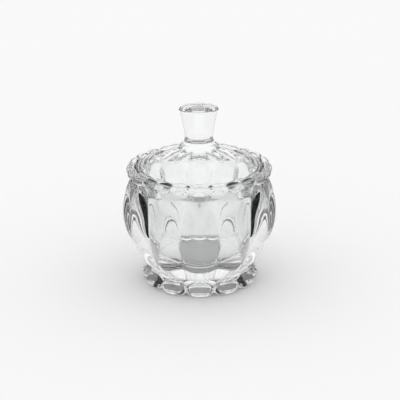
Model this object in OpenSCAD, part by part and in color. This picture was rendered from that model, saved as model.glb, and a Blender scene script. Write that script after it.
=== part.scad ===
// Lidded candy bowl of clear pressed glass: a panelled bowl on a lobed foot, and a fluted lid with a knob.
// The origin is the middle of the foot, on the table, +Z is up, and one body panel faces -Y.

/* [Body] */
// Number of panels round the body, the lid and the foot
panels = 12; // [10:1:14]
// Widest diameter, across two opposite panel crowns
belly_d = 105; // [88:0.5:126]
// Height of the widest place above the table
belly_z = 48.5; // [46:0.5:54]
// How far the panels draw in from the widest place up to the middles of the beads
shoulder_in = 8.6; // [6:0.1:10]
// How far the panels draw in from the widest place down to the top of the foot
tuck_in = 19.9; // [17:0.1:22]
// Depth of the creases between the panels at the widest place
crease_depth = 5.3; // [4:0.1:6]
// How far the creases draw in from the widest place down to the top of the foot
crease_tuck_in = 17.5; // [15:0.1:19]
// Angle to either side of a panel's middle where it keeps the round of the body
crown_flat = 5.4; // [4:0.1:7]

/* [Inside] */
// Thickness of the glass at the widest place
wall = 12.5; // [10:0.1:15]
// Height where the inside wall starts to curve in
well_bend_z = 48; // [44:0.5:54]
// Radius of the inside wall's curve, seen from the side
well_bend_r = 34; // [31:0.5:44]
// Height of the inside floor above the table
floor_z = 20; // [16:0.5:24]

/* [Rim] */
// Beads on the rim for each panel of the body
beads_per_panel = 2; // [1:1:3]
// How far the middles of the beads stand in from the widest place
bead_inset = 7; // [5:0.1:9]
// Radius of a bead's round section at its middle
bead_r = 4.1; // [3.4:0.1:5]
// Depth of the notches between the beads
bead_notch = 1.8; // [1:0.1:2.2]
// Depth of such a notch at its shoulders
bead_shoulder = 0.7; // [0.4:0.1:0.9]
// Height of the bead tops above the table
rim_z = 83; // [78:0.5:90]
// Depth of the lid's seat below the bead tops
seat_depth = 4; // [3.2:0.1:5]

/* [Foot] */
// How far the tips of the foot's lobes stand in from the widest place
foot_inset = 12.3; // [10:0.1:15]
// Radius of a lobe's round section at its middle
lobe_r = 5.2; // [4.8:0.1:5.8]
// How much of that section is cut off flat to stand on
lobe_cut = 0.8; // [0.5:0.05:1.2]
// How much of that section is cut off by the facet on its upper side
facet_cut = 1; // [0.6:0.1:1.4]
// Angle that the facet faces above level
facet_angle = 40; // [30:1:50]
// Depth of the notches between the lobes
lobe_notch = 3; // [2.4:0.1:3.4]
// Depth of such a notch at its shoulders
lobe_shoulder = 1; // [0.7:0.1:1.4]
// Height of the neck between the foot's base and the body
neck_h = 4.9; // [4:0.1:5.5]
// How far the neck draws in over its height
neck_in = 1.4; // [1:0.1:2]

/* [Lid] */
// Slope of the lid's dome at its edge
lid_slope = 30; // [27:0.5:32]
// Radius of the dome, seen from the side
lid_dome_r = 280; // [200:5:320]
// Thickness of the lid's edge where it rests on the seat
lid_edge_t = 1.9; // [1.5:0.1:2.6]
// How far inside the lid's edge the flutes on the dome run out
flute_inset = 12.9; // [10:0.1:16]
// How much flatter the flutes run than the dome does where they run out
flute_dip = 4; // [3:0.1:5]
// Radius of a flute's round section
flute_r = 20; // [14:0.5:26]
// Height of the lid's hollow above the seat
lid_hollow_h = 15.5; // [12:0.1:16]
// Wall of the locating lip under the lid
lip_t = 1.2; // [1:0.1:2.4]
// How far the locating lip reaches below the seat
lip_h = 2.5; // [1.5:0.1:4]

/* [Knob] */
// Diameter of the knob at its top edge
knob_d = 27; // [22:0.5:33]
// Diameter of the knob's waist
knob_waist_d = 19.4; // [15:0.2:21]
// Height of the waist above the place where the flare has run into the dome
knob_waist_rise = 6.2; // [6:0.1:6.5]
// Height of the knob's top edge above its waist
knob_h = 20; // [14:0.5:26]
// Rise of the knob's domed top
knob_crown = 1.1; // [0.5:0.1:3]
// Bevel round the knob's top edge
knob_bevel = 0.7; // [0.3:0.1:1.5]
// Radius of the flare between the waist and the lid
knob_flare_r = 6.6; // [6.2:0.1:7]

/* [Fits] */
// Gap all round between the lid's edge and the beaded rim
edge_clearance = 0.4; // [0.2:0.05:0.8]
// Gap all round between the locating lip and the mouth
lip_clearance = 0.4; // [0.2:0.05:0.8]
// Thickness of glass between the lid's seat and the middle of the beads
seat_wall = 1.2; // [0.8:0.1:2]
// Width of the ledge that the lid rests on
seat_w = 2.8; // [2:0.1:4]

/* [Hidden] */
$fn = 120;
glass = [0.86, 0.90, 0.92, 0.55];
far = 200;
panel_angle = 360 / panels;
half_panel = panel_angle / 2;
belly_r = belly_d / 2;
crease_in_r = belly_r - crease_depth;
// Angle that a crease runs down below the widest place, so that it ends inside the foot
crease_sweep = 62;
seat_z = rim_z - seat_depth;
bead_ring_r = belly_r - bead_inset;
bead_z = rim_z - bead_r;
bead_count = panels * beads_per_panel;
seat_r = bead_ring_r - seat_wall;
mouth_r = seat_r - seat_w;
well_r = belly_r - wall;
lobe_ring_r = belly_r - foot_inset - lobe_r;
lobe_z = lobe_r - lobe_cut;
foot_top_z = lobe_z + lobe_r;
// Half the thickness of the foot's base, which fills the ring of lobes and stays inside its notches
base_half_t = (lobe_r - lobe_notch) * 7 / 8;
// The body starts inside the foot and ends inside the rim, so that the three run into each other
body_low_z = lobe_z;
body_high_z = rim_z - bead_notch;
crown_high_r = bow_r(bead_z - belly_z, shoulder_in);
crown_low_r = bow_r(belly_z - foot_top_z, tuck_in);
crease_r = bow_r(belly_z - foot_top_z, crease_tuck_in);
// Parts of a notch's half width where its flanks change slope and where they end
notch_shoulder_part = 1 / 3;
notch_end_part = 4 / 5;
lid_r = seat_r - edge_clearance;
lid_edge_z = seat_z + lid_edge_t;
lip_r = mouth_r - lip_clearance;
lid_hollow_r = lip_r - lip_t;
lid_ball_r = bow_r(lid_hollow_r, lid_hollow_h);
waist_r = knob_waist_d / 2;
knob_r = knob_d / 2;
knob_ball_r = bow_r(knob_r - knob_bevel, knob_crown);
// Middle of the dome's curve
dome_mid_r = lid_r - lid_dome_r * sin(lid_slope);
dome_mid_z = lid_edge_z - lid_dome_r * cos(lid_slope);
// The flutes start inside the flare of the knob, which ends where it has run into the dome
flute_start_r = waist_r + knob_flare_r / 4;
flute_end_r = lid_r - flute_inset;
flute_slope = dome_slope(flute_end_r) - flute_dip;
flare_end_r = waist_r + knob_flare_r * 2 / 3;
waist_z = dome_z(flare_end_r) + knob_waist_rise;
knob_top_z = waist_z + knob_h;

// Radius of an arc that starts along a line and has left it by a rise after a run
function bow_r(run, rise) = (pow(run, 2) + pow(rise, 2)) / (2 * rise);

// Slope and height of the lid's dome at a distance from the axis
function dome_slope(r) = asin((r - dome_mid_r) / lid_dome_r);
function dome_z(r) = dome_mid_z + lid_dome_r * cos(dome_slope(r));

// Copies of a shape that faces +X, evenly round the axis, the first one turned from -Y by an angle
module round_about(count, start = 0) {
    for (i = [0 : count - 1])
        rotate([0, 0, start - 90 + i * 360 / count])
            children();
}

// Space between two neighbouring bulges, seen from above, with the groove on +X.
// A bulge is part of a circle through two grooves and through the two edges of its flat crown.
module groove_plan(crown_r, groove_r, flat) {
    bulge_mid_r = (pow(crown_r, 2) - pow(groove_r, 2))
        / (2 * (crown_r * cos(flat) - groove_r * cos(half_panel)));
    bulge_r = sqrt(pow(groove_r, 2) + pow(bulge_mid_r, 2)
        - 2 * groove_r * bulge_mid_r * cos(half_panel));
    half_w = crown_r * sin(half_panel - flat / 2);
    difference() {
        translate([bulge_mid_r, -half_w])
            square([crown_r + bead_r - bulge_mid_r, 2 * half_w]);
        for (side = [-1, 1])
            rotate([0, 0, side * half_panel])
                translate([bulge_mid_r, 0])
                    circle(bulge_r);
    }
}

// One crease to cut: straight up from the widest place, and bent in under the body below it
module crease_cut() {
    translate([0, 0, belly_z])
        linear_extrude(bead_z - bead_r - belly_z)
            groove_plan(belly_r, crease_in_r, crown_flat);
    translate([crease_in_r - crease_r, 0, belly_z])
        rotate([-90, 0, 0])
            rotate_extrude(angle = crease_sweep)
                translate([crease_r - crease_in_r, 0])
                    groove_plan(belly_r, crease_in_r, crown_flat);
}

// The body turned about the axis and creased into convex panels
module body() {
    difference() {
        rotate_extrude() {
            intersection() {
                translate([belly_r - crown_low_r, belly_z])
                    circle(crown_low_r);
                translate([0, body_low_z])
                    square([far, belly_z - body_low_z]);
            }
            intersection() {
                translate([belly_r - crown_high_r, belly_z])
                    circle(crown_high_r);
                translate([0, belly_z])
                    square([far, body_high_z - belly_z]);
            }
        }
        round_about(panels, half_panel) crease_cut();
    }
}

// Groove round the section of a ring that runs along Y, with flanks at two slopes, to part two bulges
module notch_cut(section_r, notch, shoulder, half_w) {
    outer_r = section_r + shoulder / 2;
    rotate([90, 0, 0])
        rotate_extrude()
            polygon([
                [section_r - notch, 0],
                [section_r - shoulder, -half_w * notch_shoulder_part],
                [outer_r, -half_w * notch_end_part],
                [outer_r, half_w * notch_end_part],
                [section_r - shoulder, half_w * notch_shoulder_part]
            ]);
}

// Rim: a round ring of glass, notched into beads that stand over the panels and the creases
module beaded_rim() {
    difference() {
        rotate_extrude()
            translate([bead_ring_r, bead_z])
                circle(bead_r);
        round_about(bead_count, 180 / bead_count)
            translate([bead_ring_r, 0, bead_z])
                notch_cut(bead_r, bead_notch, bead_shoulder, bead_ring_r * tan(180 / bead_count));
    }
}

// Section of the foot's ring: round, flat where it stands and with a facet on its upper side
module lobe_section() {
    intersection() {
        circle(lobe_r);
        translate([-1.5 * lobe_r, lobe_cut - lobe_r])
            square(3 * lobe_r);
        rotate(facet_angle)
            translate([lobe_r - facet_cut - 3 * lobe_r, -2 * lobe_r])
                square([3 * lobe_r, 4 * lobe_r]);
    }
}

// Foot: a faceted ring notched into one lobe for each panel, the base inside it and the neck up to the body
module foot() {
    difference() {
        rotate_extrude()
            translate([lobe_ring_r, lobe_z])
                lobe_section();
        round_about(panels, half_panel)
            translate([lobe_ring_r, 0, lobe_z])
                notch_cut(lobe_r, lobe_notch, lobe_shoulder, lobe_ring_r * tan(half_panel));
    }
    rotate_extrude()
        polygon([
            [0, lobe_z - base_half_t],
            [lobe_ring_r, lobe_z - base_half_t],
            [lobe_ring_r, lobe_z + base_half_t],
            [lobe_ring_r - neck_in, lobe_z + base_half_t + neck_h],
            [0, lobe_z + base_half_t + neck_h]
        ]);
}

// Space inside the bowl: a well that curves in to a flat floor, the mouth and the lid's seat above it
module bowl_inside() {
    rotate_extrude() {
        intersection() {
            translate([well_r - well_bend_r, well_bend_z])
                circle(well_bend_r);
            translate([0, floor_z])
                square([far, well_bend_z - floor_z]);
        }
        polygon([[0, well_bend_z], [well_r, well_bend_z], [mouth_r, seat_z], [0, seat_z]]);
        translate([0, seat_z])
            square([seat_r, far]);
    }
}

module bowl() {
    color(glass)
        difference() {
            union() {
                body();
                beaded_rim();
                foot();
            }
            bowl_inside();
        }
}

// One flute to cut in the lid, towards +X: a round bar laid down the dome, which leaves it at the flute's end
module flute_cut() {
    run = (flute_end_r - flute_start_r) / cos(flute_slope);
    translate([flute_end_r, 0, dome_z(flute_end_r)])
        rotate([0, 90 + flute_slope, 0])
            translate([-flute_r, 0, -run])
                cylinder(h = 2 * run, r = flute_r);
}

// Dome of the lid, with an upright edge and a flute over each panel of the body
module lid_dome() {
    difference() {
        rotate_extrude()
            intersection() {
                translate([dome_mid_r, dome_mid_z])
                    circle(lid_dome_r, $fn = 6 * $fn);
                translate([0, seat_z])
                    square([lid_r, far]);
            }
        round_about(panels) flute_cut();
    }
}

// Knob turned about the axis: flared foot, waist, widening side, bevelled edge and domed top
module knob() {
    rotate_extrude() {
        difference() {
            translate([0, waist_z - knob_flare_r])
                square([flare_end_r, knob_flare_r]);
            translate([waist_r + knob_flare_r, waist_z])
                circle(knob_flare_r);
        }
        intersection() {
            polygon([
                [0, waist_z],
                [waist_r, waist_z],
                [knob_r, knob_top_z - knob_bevel],
                [knob_r - knob_bevel - 2 * knob_crown, knob_top_z + 2 * knob_crown],
                [0, knob_top_z + 2 * knob_crown]
            ]);
            translate([0, knob_top_z + knob_crown - knob_ball_r])
                circle(knob_ball_r);
        }
    }
}

module lid() {
    color(glass)
        difference() {
            union() {
                lid_dome();
                knob();
                translate([0, 0, seat_z - lip_h])
                    cylinder(h = lip_h, r = lip_r);
            }
            translate([0, 0, seat_z + lid_hollow_h - lid_ball_r])
                sphere(lid_ball_r);
            translate([0, 0, seat_z - far])
                cylinder(h = far, r = lid_hollow_r);
        }
}

bowl();
lid();
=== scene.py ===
import math

import bmesh
import bpy
from mathutils import Matrix, Vector


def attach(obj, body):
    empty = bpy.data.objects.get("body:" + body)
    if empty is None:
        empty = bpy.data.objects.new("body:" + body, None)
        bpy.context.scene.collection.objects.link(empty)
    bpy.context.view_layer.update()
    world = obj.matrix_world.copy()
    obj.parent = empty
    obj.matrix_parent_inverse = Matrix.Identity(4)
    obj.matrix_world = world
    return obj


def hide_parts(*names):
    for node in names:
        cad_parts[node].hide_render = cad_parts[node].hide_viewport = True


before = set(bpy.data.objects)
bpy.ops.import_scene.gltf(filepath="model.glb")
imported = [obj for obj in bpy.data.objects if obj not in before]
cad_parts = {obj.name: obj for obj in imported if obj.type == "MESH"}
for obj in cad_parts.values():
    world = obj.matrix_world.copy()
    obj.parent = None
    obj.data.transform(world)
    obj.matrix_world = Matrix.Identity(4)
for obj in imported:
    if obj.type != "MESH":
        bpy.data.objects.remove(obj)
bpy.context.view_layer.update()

# Bowl: one heavy pressing of clear glass. The mould gives it twelve convex panels parted by rounded creases,
# a ring of beads along the rim and a lobed foot; the plunger gives it a plain round well and the ledge for the
# lid. It stands on the flat underside of its foot and is fixed to nothing.
panels = 12
half_panel = math.pi / panels
front = -math.pi / 2
columns_per_panel = 32
belly_r, belly_z = 0.0525, 0.0485
crown_low_r, crown_high_r = 0.048, 0.058
crease_in_r, crease_low_r, crease_soft = 0.0472, 0.052, 0.0013
lobe_ring_r, lobe_z = 0.0350, 0.0044
lobe_r, lobe_notch, lobe_flatness = 0.0052, 0.0030, 2.8
facet_cut, facet_angle = 0.0010, math.radians(40)
base_half_t, neck_h, neck_in, neck_margin = 0.0019, 0.0049, 0.0014, 0.001
foot_soft = 0.0003
beads_per_panel = 2
bead_ring_r, bead_z = 0.0455, 0.0789
bead_r, bead_notch, bead_flatness = 0.0041, 0.0018, 2.1
bead_soft, bead_blend, bead_edge = 0.0004, 1.3, 0.0004
bead_start_angle, bead_stop_angle = 5, 4
seat_r, seat_z, seat_soft = 0.0443, 0.079, 0.0005
mouth_r, mouth_soft = 0.0415, 0.0006
well_r, well_bend_r, well_bend_z, well_margin = 0.040, 0.034, 0.048, 0.001
floor_z, floor_soft, floor_flat, floor_bend_angle = 0.020, 0.004, 0.85, 2
seam_gap, doubles_gap = 2e-6, 1e-6
glass_tint, glass_ior = (0.985, 0.99, 0.99, 1), 1.52
wave_scale, wave_detail, wave_strength, wave_depth = 60, 1, 0.02, 0.001


def evenly(first, last, count):
    """Values that go evenly from the first, which is left out, to the last."""
    return [first + (last - first) * i / count for i in range(1, count + 1)]


def arc(middle, radius, first, last, steps):
    """Points (r, z) on part of a circle, between two angles in degrees, both ends included."""
    turns = [math.radians(first + (last - first) * i / steps) for i in range(steps + 1)]
    return [(middle[0] + radius * math.cos(t), middle[1] + radius * math.sin(t)) for t in turns]


def softened(corners, steps=4, most_of_side=0.45):
    """Points (r, z) along a line of corners (r, z, softness), each rounded over its softness both ways."""
    points = []
    for i, (r, z, soft) in enumerate(corners):
        if soft == 0 or i in (0, len(corners) - 1):
            points.append((r, z))
            continue
        ends = []
        for j in (i - 1, i + 1):
            way = Vector((corners[j][0] - r, corners[j][1] - z))
            ends.append(Vector((r, z)) + way.normalized() * min(soft, way.length * most_of_side))
        for k in range(steps + 1):
            t = k / steps
            p = ends[0] * (1 - t) ** 2 + Vector((r, z)) * 2 * t * (1 - t) + ends[1] * t ** 2
            points.append((p.x, p.y))
    return points


def run_together(reaches, soft):
    """The farthest of some distances, rounded where two of them meet, as hot glass runs together."""
    top = max(reaches)
    return top + soft * math.log(sum(math.exp((reach - top) / soft) for reach in reaches))


def bulge_reach(turn, crown, groove):
    """Distance from the axis to a row of bulges with rounded grooves, at an angle from a bulge's middle."""
    depth = max(0, crown - groove)

    def merged(off):
        """A bulge run together with the next, whose middle is two half panels away."""
        return run_together([crown - depth * off ** 2, crown - depth * (2 - off) ** 2], crease_soft)

    return merged(abs(turn / half_panel)) - (merged(0) - crown)


def body_reach(turn, z):
    """Distance from the axis to the body's panels at a height."""
    up = z - belly_z
    bow = crown_low_r if up < 0 else crown_high_r
    crown = belly_r - bow + math.sqrt(bow ** 2 - up ** 2)
    crease = crease_in_r
    if up < 0:
        crease = crease_in_r - crease_low_r + math.sqrt(crease_low_r ** 2 - up ** 2)
    return bulge_reach(turn, crown, crease)


def notched(turn, half_pitch, section_r, notch, flatness):
    """Radius of a ring's round section, parted into bulges by notches, at an angle from a panel's middle."""
    off = (turn + half_pitch) % (2 * half_pitch) - half_pitch
    return section_r - notch * (abs(off) / half_pitch) ** flatness


def lobe_section_r(turn):
    """Radius of the foot ring's section."""
    return notched(turn, half_panel, lobe_r, lobe_notch, lobe_flatness)


def bead_section_r(turn):
    """Radius of the rim's section."""
    return notched(turn, half_panel / beads_per_panel, bead_r, bead_notch, bead_flatness)


def foot_reach(turn, z):
    """Distance from the axis to the upper half of the foot and the body over it."""
    lobe = lobe_section_r(turn)
    up = z - lobe_z
    reaches = [body_reach(turn, z)]
    if up < lobe:
        facet = (lobe_r - facet_cut - up * math.sin(facet_angle)) / math.cos(facet_angle)
        reaches.append(lobe_ring_r + min(facet, math.sqrt(lobe ** 2 - up ** 2)))
    if up < base_half_t + neck_h:
        reaches.append(lobe_ring_r - max(0, up - base_half_t) * neck_in / neck_h)
    return run_together(reaches, foot_soft)


def rim_reach(turn, z):
    """Distance from the axis to the top of the body and the lower half of the beads over it."""
    bead = bead_section_r(turn)
    reaches = [body_reach(turn, z)]
    if bead_z - z < bead:
        reaches.append(bead_ring_r + math.sqrt(bead ** 2 - (bead_z - z) ** 2))
    return run_together(reaches, bead_soft)


def bowl_outline(turn):
    """The bowl's section: from the underside's middle up the outside, then down the well to the floor's."""
    roof_rows, ring_steps, foot_rows, body_rows = 10, 36, 24, 64
    rim_rows, bead_steps, bend_steps, floor_rows = 28, 20, 30, 8
    lobe = lobe_section_r(turn)
    ring_first = 180 + math.degrees(math.asin(base_half_t / lobe))
    ring = arc((lobe_ring_r, lobe_z), lobe, ring_first, 360, ring_steps)
    points = [(ring[0][0] * i / roof_rows, lobe_z - base_half_t) for i in range(roof_rows)]
    points += [(r, max(0, z)) for r, z in ring]
    body_low = lobe_z + base_half_t + neck_h + neck_margin
    body_high = bead_z - bead_blend * bead_r
    points += [(foot_reach(turn, z), z) for z in evenly(lobe_z, body_low, foot_rows)]
    points += [(body_reach(turn, z), z) for z in evenly(body_low, body_high, body_rows)]
    points += [(rim_reach(turn, z), z) for z in evenly(body_high, bead_z, rim_rows)]
    bead = bead_section_r(turn)
    bead_last = math.degrees(math.acos((seat_r - bead_ring_r) / bead))
    points += arc((bead_ring_r, bead_z), bead, bead_start_angle, bead_last - bead_stop_angle, bead_steps)
    points += softened([
        (seat_r, bead_z + bead * math.sin(math.radians(bead_last)) - bead_edge, 0),
        (seat_r, seat_z, seat_soft),
        (mouth_r, seat_z, mouth_soft),
        (well_r, well_bend_z + well_margin, 0),
    ])
    fall = math.asin((well_bend_z - floor_z) / well_bend_r)
    floor_r = well_r - well_bend_r + well_bend_r * math.cos(fall)
    bend_last = floor_bend_angle - math.degrees(fall)
    bend = arc((well_r - well_bend_r, well_bend_z), well_bend_r, 0, bend_last, bend_steps)
    points += bend
    flat_r = floor_r * floor_flat
    points += softened([(*bend[-1], 0), (floor_r, floor_z, floor_soft), (flat_r, floor_z, 0)])
    points += [(flat_r * (1 - i / floor_rows), floor_z) for i in range(1, floor_rows + 1)]
    return points


def pressed_segment(name, outline):
    """One panel's share of a pressing: sections at even angles from crease to crease, joined into a skin."""
    mesh = bpy.data.meshes.new(name)
    skin = bmesh.new()
    grid = []
    for i in range(columns_per_panel + 1):
        turn = half_panel * (2 * i / columns_per_panel - 1)
        spot = front + turn
        grid.append([skin.verts.new((r * math.cos(spot), r * math.sin(spot), z)) for r, z in outline(turn)])
    for left, right in zip(grid, grid[1:]):
        for j in range(len(left) - 1):
            skin.faces.new((left[j], right[j], right[j + 1], left[j + 1]))
    bmesh.ops.remove_doubles(skin, verts=skin.verts, dist=doubles_gap)
    bmesh.ops.recalc_face_normals(skin, faces=skin.faces)
    skin.to_mesh(mesh)
    skin.free()
    piece = bpy.data.objects.new(name, mesh)
    bpy.context.scene.collection.objects.link(piece)
    return piece


# The tree sets copies of one segment round the axis and welds them where they meet.
round_tree = bpy.data.node_groups.new("Segments round the axis", "GeometryNodeTree")
for way, kind, name in (
        ("INPUT", "NodeSocketGeometry", "Segment"),
        ("INPUT", "NodeSocketInt", "Panels"),
        ("INPUT", "NodeSocketFloat", "Weld distance"),
        ("INPUT", "NodeSocketMaterial", "Glass"),
        ("OUTPUT", "NodeSocketGeometry", "Pressing")):
    round_tree.interface.new_socket(name, in_out=way, socket_type=kind)
tree_in = round_tree.nodes.new("NodeGroupInput")
tree_out = round_tree.nodes.new("NodeGroupOutput")
spots = round_tree.nodes.new("GeometryNodeMeshLine")
place = round_tree.nodes.new("GeometryNodeInstanceOnPoints")
count = round_tree.nodes.new("GeometryNodeInputIndex")
step_angle = round_tree.nodes.new("ShaderNodeMath")
turn_by = round_tree.nodes.new("ShaderNodeMath")
about_z = round_tree.nodes.new("ShaderNodeCombineXYZ")
real = round_tree.nodes.new("GeometryNodeRealizeInstances")
weld = round_tree.nodes.new("GeometryNodeMergeByDistance")
smooth = round_tree.nodes.new("GeometryNodeSetShadeSmooth")
finish = round_tree.nodes.new("GeometryNodeSetMaterial")
spots.inputs["Offset"].default_value = (0, 0, 0)
step_angle.operation = "DIVIDE"
step_angle.inputs[0].default_value = 2 * math.pi
turn_by.operation = "MULTIPLY"
for source, socket, target, into in (
        (tree_in, "Panels", spots, "Count"),
        (spots, "Mesh", place, "Points"),
        (tree_in, "Segment", place, "Instance"),
        (tree_in, "Panels", step_angle, 1),
        (count, "Index", turn_by, 0),
        (step_angle, "Value", turn_by, 1),
        (turn_by, "Value", about_z, "Z"),
        (about_z, "Vector", place, "Rotation"),
        (place, "Instances", real, "Geometry"),
        (real, "Geometry", weld, "Geometry"),
        (tree_in, "Weld distance", weld, "Distance"),
        (weld, "Geometry", smooth, "Geometry"),
        (smooth, "Geometry", finish, "Geometry"),
        (tree_in, "Glass", finish, "Material"),
        (finish, "Geometry", tree_out, "Pressing")):
    round_tree.links.new(source.outputs[socket], target.inputs[into])


def pressing(segment, glass):
    """Turns one segment into the whole piece: runs the tree on it and keeps the result as a plain mesh."""
    repeat = segment.modifiers.new("Round", "NODES")
    repeat.node_group = round_tree
    wanted = {"Panels": panels, "Weld distance": seam_gap, "Glass": glass}
    for socket in round_tree.interface.items_tree:
        if socket.in_out == "INPUT" and socket.name in wanted:
            repeat[socket.identifier] = wanted[socket.name]
    shaped = segment.evaluated_get(bpy.context.evaluated_depsgraph_get())
    whole = bpy.data.meshes.new_from_object(shaped)
    segment.modifiers.remove(repeat)
    segment.data = whole
    skin = bmesh.new()
    skin.from_mesh(whole)
    bmesh.ops.dissolve_degenerate(skin, edges=skin.edges, dist=doubles_gap)
    bmesh.ops.recalc_face_normals(skin, faces=skin.faces)
    skin.to_mesh(whole)
    skin.free()
    whole.shade_smooth()
    return segment


def pressed_glass(name):
    """Clear pressed glass: fire-polished, with a faint waviness that the mould leaves."""
    glass = bpy.data.materials.new(name)
    glass.use_nodes = True
    nodes, links = glass.node_tree.nodes, glass.node_tree.links
    shader = nodes["Principled BSDF"]
    shader.inputs["Base Color"].default_value = glass_tint
    shader.inputs["IOR"].default_value = glass_ior
    shader.inputs["Transmission Weight"].default_value = 1
    shader.inputs["Roughness"].default_value = 0
    where = nodes.new("ShaderNodeTexCoord")
    wave = nodes.new("ShaderNodeTexNoise")
    wave.inputs["Scale"].default_value = wave_scale
    wave.inputs["Detail"].default_value = wave_detail
    bump = nodes.new("ShaderNodeBump")
    bump.inputs["Strength"].default_value = wave_strength
    bump.inputs["Distance"].default_value = wave_depth
    links.new(where.outputs["Object"], wave.inputs["Vector"])
    links.new(wave.outputs["Fac"], bump.inputs["Height"])
    links.new(bump.outputs["Normal"], shader.inputs["Normal"])
    return glass


bowl_glass = pressed_glass("bowl_pressed_glass")
bowl = pressing(pressed_segment("bowl_glass", bowl_outline), bowl_glass)
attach(bowl, "bowl")
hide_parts("bowl")

# Lid: one thin pressing of the same glass. Twelve round flutes run down its low dome and end before the edge,
# and a solid flared knob stands on top. A flat flange rests loose on the ledge in the rim, and a lip under it
# keeps the lid from sliding off.
lid_r, lid_edge_z, lid_slope, lid_dome_r = 0.0439, 0.0809, math.radians(30), 0.280
flange_in_soft, flange_soft, edge_soft, edge_w = 0.0002, 0.0003, 0.0005, 0.002
flute_end_r, flute_slope, flute_r, flute_soft = 0.031, math.radians(23), 0.020, 0.00005
lip_r, lip_in_r, lip_z = 0.0411, 0.0399, 0.0765
lip_soft, lip_edge = 0.0008, 0.0003
lid_hollow_h = 0.0155
waist_r, waist_z, flare_r, flare_share = 0.0097, 0.102, 0.0066, 0.55
knob_r, knob_top_z, knob_bevel, knob_crown = 0.0135, 0.122, 0.0007, 0.0011
knob_soft, bevel_in, bevel_below = 0.0004, 0.0001, 0.0005
crown_in, crown_rise, crown_edge = 0.001, 0.00016, 0.0012


def dome_height(r):
    """Height of the lid's dome, without its flutes, at a distance from the axis."""
    off = r - lid_r + lid_dome_r * math.sin(lid_slope)
    return lid_edge_z - lid_dome_r * math.cos(lid_slope) + math.sqrt(lid_dome_r ** 2 - off ** 2)


def lid_height(turn, r):
    """Height of the fluted dome at a distance from the axis, at an angle from a flute's middle."""
    plain = dome_height(r)
    across = r * math.sin(turn)
    along = (flute_end_r - r * math.cos(turn)) * math.tan(flute_slope)
    rise = flute_r - math.sqrt(flute_r ** 2 - across ** 2)
    flute = dome_height(flute_end_r) + along + rise / math.cos(flute_slope)
    return plain - flute_soft * math.log(1 + math.exp((plain - flute) / flute_soft))


def lid_outline(turn):
    """The lid's section: from the hollow's middle over the lip and flange, up the dome to the knob's top."""
    hollow_steps, dome_rows, flare_steps, knob_rows, crown_steps = 32, 40, 16, 20, 12
    ball = (lip_in_r ** 2 + lid_hollow_h ** 2) / (2 * lid_hollow_h)
    sweep = math.degrees(math.asin(lip_in_r / ball))
    points = arc((0, seat_z + lid_hollow_h - ball), ball, 90, 90 - sweep, hollow_steps)
    shoulder_r = lid_r - edge_w
    points += softened([
        (lip_in_r, seat_z - lip_edge, 0),
        (lip_in_r, lip_z, lip_soft),
        (lip_r, lip_z, lip_soft),
        (lip_r, seat_z, flange_in_soft),
        (lid_r, seat_z, flange_soft),
        (lid_r, lid_height(turn, lid_r), edge_soft),
        (shoulder_r, lid_height(turn, shoulder_r), 0),
    ])
    collar_r = waist_r + flare_r * flare_share
    points += [(r, lid_height(turn, r)) for r in evenly(shoulder_r, collar_r, dome_rows)]
    flare_first = 180 + math.degrees(math.acos(1 - (collar_r - waist_r) / flare_r))
    points += arc((waist_r + flare_r, waist_z), flare_r, flare_first, 180, flare_steps)
    bevel_z, crown_r = knob_top_z - knob_bevel, knob_r - knob_bevel
    side = list(zip(evenly(waist_r, knob_r, knob_rows), evenly(waist_z, bevel_z, knob_rows)))
    points += side[:-1]
    points += softened([
        (knob_r - bevel_in, bevel_z - bevel_below, 0),
        (knob_r, bevel_z, knob_soft),
        (crown_r, knob_top_z, knob_soft),
        (crown_r - crown_in, knob_top_z + crown_rise, 0),
    ])
    ball = (crown_r ** 2 + knob_crown ** 2) / (2 * knob_crown)
    sweep = math.degrees(math.asin((crown_r - crown_edge) / ball))
    points += arc((0, knob_top_z + knob_crown - ball), ball, 90 - sweep, 90, crown_steps)
    return points


lid_glass = pressed_glass("lid_pressed_glass")
lid = pressing(pressed_segment("lid_glass", lid_outline), lid_glass)
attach(lid, "lid")
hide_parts("lid")

# Table: a plain white sheet that the bowl stands on, large enough to fill the picture. Its top lies a hair
# below the foot, because two faces at one height would show as black specks through the glass.
table_reach, table_z, table_white = 6.0, -0.0003, (0.97, 0.97, 0.97, 1)
table_corners = ((-1, -1), (1, -1), (1, 1), (-1, 1))
table_mesh = bpy.data.meshes.new("table")
table_mesh.from_pydata([(x * table_reach, y * table_reach, table_z) for x, y in table_corners], [],
                       [(0, 1, 2, 3)])
table = bpy.data.objects.new("table", table_mesh)
bpy.context.scene.collection.objects.link(table)
white = bpy.data.materials.new("white_table")
white.use_nodes = True
nodes, links = white.node_tree.nodes, white.node_tree.links
nodes.remove(nodes["Principled BSDF"])
matt = nodes.new("ShaderNodeBsdfDiffuse")
matt.inputs["Color"].default_value = table_white
links.new(matt.outputs["BSDF"], nodes["Material Output"].inputs["Surface"])
table_mesh.materials.append(white)

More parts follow.
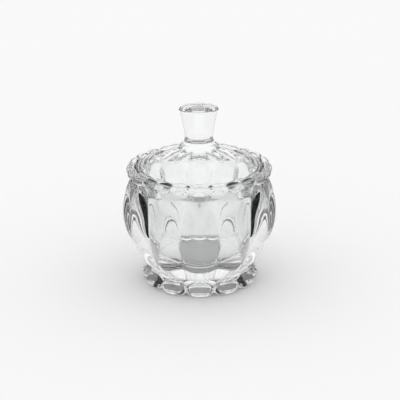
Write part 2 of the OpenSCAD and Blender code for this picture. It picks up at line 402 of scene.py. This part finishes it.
# Flags: two upright black cards that stand on either side of the bowl and draw the dark panels in its glass.
# The camera doesn't see them, and they give no shadow.
flag_x, flag_near, flag_far, flag_low, flag_high = 0.08, -0.17, 0.10, 0.002, 0.08
flag_colour = (0.01, 0.01, 0.01, 1)
flag_black = bpy.data.materials.new("flag_black")
flag_black.use_nodes = True
flag_paint = flag_black.node_tree.nodes["Principled BSDF"]
flag_paint.inputs["Base Color"].default_value = flag_colour
flag_paint.inputs["Specular IOR Level"].default_value = 0
for side, name in ((-1, "flag_left"), (1, "flag_right")):
    flag_mesh = bpy.data.meshes.new(name)
    x = side * flag_x
    flag_mesh.from_pydata([(x, flag_near, flag_low), (x, flag_far, flag_low), (x, flag_far, flag_high),
                           (x, flag_near, flag_high)], [], [(0, 1, 2, 3)])
    flag_mesh.materials.append(flag_black)
    flag = bpy.data.objects.new(name, flag_mesh)
    bpy.context.scene.collection.objects.link(flag)
    flag.visible_camera = False
    flag.visible_diffuse = False
    flag.visible_shadow = False

# Light: an even white room with no lamp, at a level where a colour renders about as it is written.
# What shadow there is comes from the part of the room that the bowl hides from the table.
room_white, room_level = (1, 1, 1, 1), 0.98
world = bpy.data.worlds.new("white_room")
bpy.context.scene.world = world
world.use_nodes = True
room = world.node_tree.nodes["Background"]
room.inputs["Color"].default_value = room_white
room.inputs["Strength"].default_value = room_level

# Camera: at the photograph's viewing angle, 19.5 degrees above level, with a long lens. It leans a little to
# one side and its picture is moved sideways by about half a pixel, to frame the bowl as the photograph does.
eye = Vector((0, -0.900, 0.3745))
aim = Vector((0, 0, 0.0562))
film_w, focal_length = 36, 125.2
roll, picture_w, picture_shift = -0.008, 400, 0.587
lens = bpy.data.cameras.new("camera")
lens.sensor_width = film_w
lens.lens = focal_length
lens.shift_x = picture_shift / picture_w
camera = bpy.data.objects.new("camera", lens)
bpy.context.scene.collection.objects.link(camera)
look = (aim - eye).to_track_quat("-Z", "Y").to_matrix().to_4x4()
camera.matrix_world = Matrix.Translation(eye) @ look @ Matrix.Rotation(roll, 4, "Z")
bpy.context.scene.camera = camera
bpy.context.scene.view_settings.view_transform = "Standard"
# Light crosses many walls of glass in this object, so its paths are long.
bpy.context.scene.cycles.max_bounces = 24
bpy.context.scene.cycles.glossy_bounces = 9
bpy.context.scene.cycles.transmission_bounces = 16
